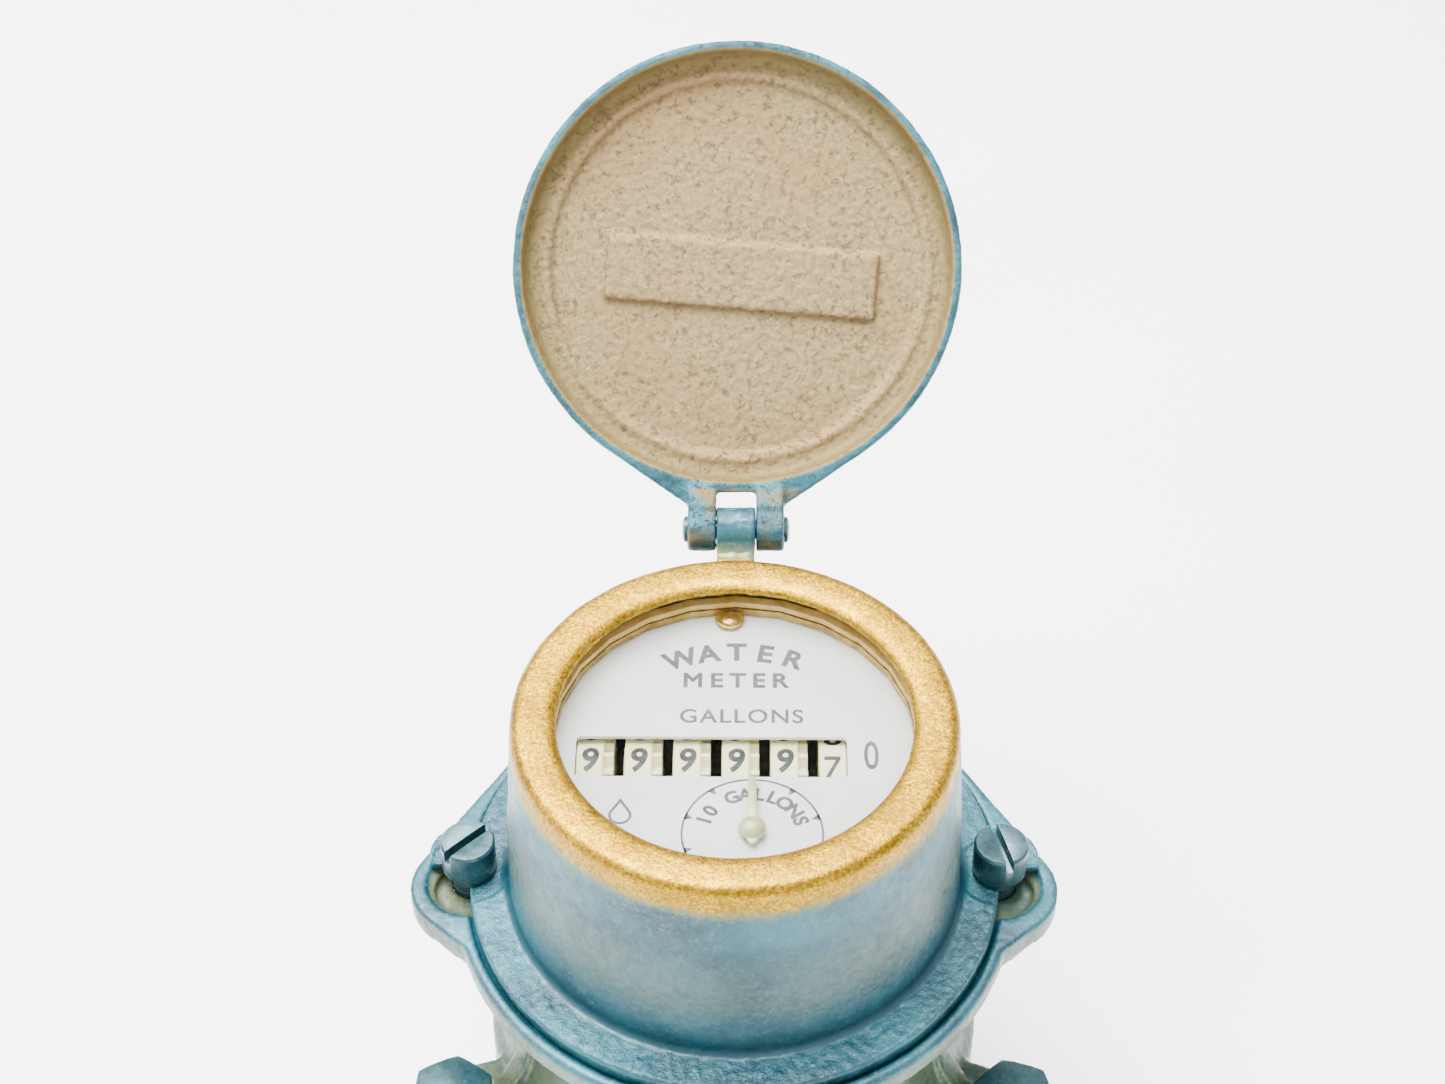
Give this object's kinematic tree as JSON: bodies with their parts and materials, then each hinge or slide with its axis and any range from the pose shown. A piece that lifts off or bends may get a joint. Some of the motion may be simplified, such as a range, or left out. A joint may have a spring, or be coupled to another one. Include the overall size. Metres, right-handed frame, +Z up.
{
  "type": "water meter",
  "caption": "Cast disc-type water meter on an open-lid register box, with a number register and sweep pointer under glass, bolted case and threaded spuds.",
  "frame": {"origin": "centre of the foot, on the plane the meter stands on, midway between the spud ends", "axes": "+Z up along the meter's axis, +Y along the pipe line from the inlet spud to the outlet spud (the lid hinge is on this side), +X to the right of someone who reads the dial"},
  "size_m": [0.139, 0.273, 0.245],
  "materials": {
    "paint": "satin",
    "bronze": "cast, satin",
    "lid_bronze": "rough cast",
    "brass": "machined",
    "steel": "turned",
    "rubber": "matte",
    "amber_rubber": "satin",
    "hard_rubber": "moulded",
    "enamel": "smooth",
    "wheel_cream": "satin",
    "nickel": "satin",
    "glass": "clear"
  },
  "bodies": {
    "case": {"main_case": "paint", "top_case": "paint", "case_bolt_1": "paint", "case_bolt_2": "paint", "case_bolt_3": "paint", "case_bolt_4": "paint", "case_nut_1": "paint", "case_nut_2": "paint", "case_nut_3": "paint", "case_nut_4": "paint", "hold_down_screw_left": "paint", "hold_down_screw_right": "paint", "register_box": "bronze", "glass_retainer": "brass", "register_plate": "brass", "side_plate_left": "brass", "side_plate_right": "brass", "dial_post_1": "brass", "dial_post_2": "brass", "dial_clip": "brass", "gear_plate": "brass", "gland_nut": "brass", "strainer": "brass", "pinion_shaft": "steel", "cluster_stud": "steel", "partition_plate": "steel", "case_gasket": "rubber", "gland_packing": "rubber", "glass_gasket": "amber_rubber", "chamber_bottom": "hard_rubber", "chamber_top": "hard_rubber", "dial_face": "enamel", "glass": "glass"},
    "lid": {"lid": "lid_bronze", "hinge_pin": "brass"},
    "nutating_disc": {"disc": "hard_rubber", "disc_pin": "steel"},
    "driver": {"driver": "hard_rubber"},
    "cluster": {"cluster_gear": "hard_rubber"},
    "spindle": {"drive_spindle": "steel", "spindle_pinion": "brass", "output_gear": "brass"},
    "pointer": {"pointer_arbor": "steel", "pointer_gear": "brass", "pointer": "nickel"},
    "worm": {"worm_arbor": "steel", "worm_gear": "brass"},
    "wheel_6": {"number_wheel_6": "wheel_cream", "number_shaft": "steel", "worm_wheel": "brass"},
    "wheel_1": {"number_wheel_1": "wheel_cream"},
    "wheel_2": {"number_wheel_2": "wheel_cream"},
    "wheel_3": {"number_wheel_3": "wheel_cream"},
    "wheel_4": {"number_wheel_4": "wheel_cream"},
    "wheel_5": {"number_wheel_5": "wheel_cream"},
    "pinion_1": {"transfer_pinion_1": "nickel"},
    "pinion_2": {"transfer_pinion_2": "nickel"},
    "pinion_3": {"transfer_pinion_3": "nickel"},
    "pinion_4": {"transfer_pinion_4": "nickel"},
    "pinion_5": {"transfer_pinion_5": "nickel"}
  },
  "joints": [
    {"name": "lid_hinge", "type": "hinge", "parent": "case", "child": "lid", "pos_m": [0, 0.0565, 0.1666], "axis": [-1, 0, 0], "range_deg": [-132, 0]},
    {"name": "disc_rock", "type": "hinge", "parent": "case", "child": "nutating_disc", "pos_m": [0, 0, 0.039], "axis": [0, 1, 0], "range_deg": [-24, 0]},
    {"name": "spindle_spin", "type": "hinge", "parent": "case", "child": "spindle", "pos_m": [0, 0, 0.1], "axis": [0, 0, 1], "continuous": true},
    {"name": "driver_spin", "type": "hinge", "parent": "case", "child": "driver", "pos_m": [0, 0, 0.066], "axis": [0, 0, 1], "continuous": true},
    {"name": "cluster_spin", "type": "hinge", "parent": "case", "child": "cluster", "pos_m": [0.0216, 0, 0.074], "axis": [0, 0, 1], "continuous": true},
    {"name": "pointer_spin", "type": "hinge", "parent": "case", "child": "pointer", "pos_m": [0.0035, -0.0231, 0.15], "axis": [0, 0, 1], "continuous": true},
    {"name": "worm_spin", "type": "hinge", "parent": "case", "child": "worm", "pos_m": [0.0274, -0.0164, 0.14], "axis": [0, 0, 1], "continuous": true},
    {"name": "wheel_6_spin", "type": "hinge", "parent": "case", "child": "wheel_6", "pos_m": [0.0197, -0.0032, 0.1435], "axis": [1, 0, 0], "continuous": true},
    {"name": "wheel_5_spin", "type": "hinge", "parent": "case", "child": "wheel_5", "pos_m": [0.0099, -0.0032, 0.1435], "axis": [1, 0, 0], "continuous": true},
    {"name": "wheel_4_spin", "type": "hinge", "parent": "case", "child": "wheel_4", "pos_m": [0.0001, -0.0032, 0.1435], "axis": [1, 0, 0], "continuous": true},
    {"name": "wheel_3_spin", "type": "hinge", "parent": "case", "child": "wheel_3", "pos_m": [-0.0097, -0.0032, 0.1435], "axis": [1, 0, 0], "continuous": true},
    {"name": "wheel_2_spin", "type": "hinge", "parent": "case", "child": "wheel_2", "pos_m": [-0.0195, -0.0032, 0.1435], "axis": [1, 0, 0], "continuous": true},
    {"name": "wheel_1_spin", "type": "hinge", "parent": "case", "child": "wheel_1", "pos_m": [-0.0293, -0.0032, 0.1435], "axis": [1, 0, 0], "continuous": true},
    {"name": "pinion_5_spin", "type": "hinge", "parent": "case", "child": "pinion_5", "pos_m": [0.0148, 0.0105, 0.1298], "axis": [1, 0, 0], "continuous": true},
    {"name": "pinion_4_spin", "type": "hinge", "parent": "case", "child": "pinion_4", "pos_m": [0.005, 0.0105, 0.1298], "axis": [1, 0, 0], "continuous": true},
    {"name": "pinion_3_spin", "type": "hinge", "parent": "case", "child": "pinion_3", "pos_m": [-0.0048, 0.0105, 0.1298], "axis": [1, 0, 0], "continuous": true},
    {"name": "pinion_2_spin", "type": "hinge", "parent": "case", "child": "pinion_2", "pos_m": [-0.0146, 0.0105, 0.1298], "axis": [1, 0, 0], "continuous": true},
    {"name": "pinion_1_spin", "type": "hinge", "parent": "case", "child": "pinion_1", "pos_m": [-0.0244, 0.0105, 0.1298], "axis": [1, 0, 0], "continuous": true}
  ],
  "couplings": [
    {"joint": "driver_spin", "follows": "spindle_spin", "ratio": 9},
    {"joint": "cluster_spin", "follows": "spindle_spin", "ratio": -3},
    {"joint": "pointer_spin", "follows": "spindle_spin", "ratio": -0.33333},
    {"joint": "worm_spin", "follows": "spindle_spin", "ratio": 0.8},
    {"joint": "wheel_6_spin", "follows": "spindle_spin", "ratio": 0.033333},
    {"joint": "wheel_5_spin", "follows": "spindle_spin", "ratio": 0.0033333},
    {"joint": "wheel_4_spin", "follows": "spindle_spin", "ratio": 0.00033333},
    {"joint": "wheel_3_spin", "follows": "spindle_spin", "ratio": 0.000033333},
    {"joint": "wheel_2_spin", "follows": "spindle_spin", "ratio": 0.0000033333},
    {"joint": "wheel_1_spin", "follows": "spindle_spin", "ratio": 0.00000033333},
    {"joint": "pinion_5_spin", "follows": "spindle_spin", "ratio": -0.0083333},
    {"joint": "pinion_4_spin", "follows": "spindle_spin", "ratio": -0.00083333},
    {"joint": "pinion_3_spin", "follows": "spindle_spin", "ratio": -0.000083333},
    {"joint": "pinion_2_spin", "follows": "spindle_spin", "ratio": -0.0000083333},
    {"joint": "pinion_1_spin", "follows": "spindle_spin", "ratio": -0.00000083333}
  ]
}
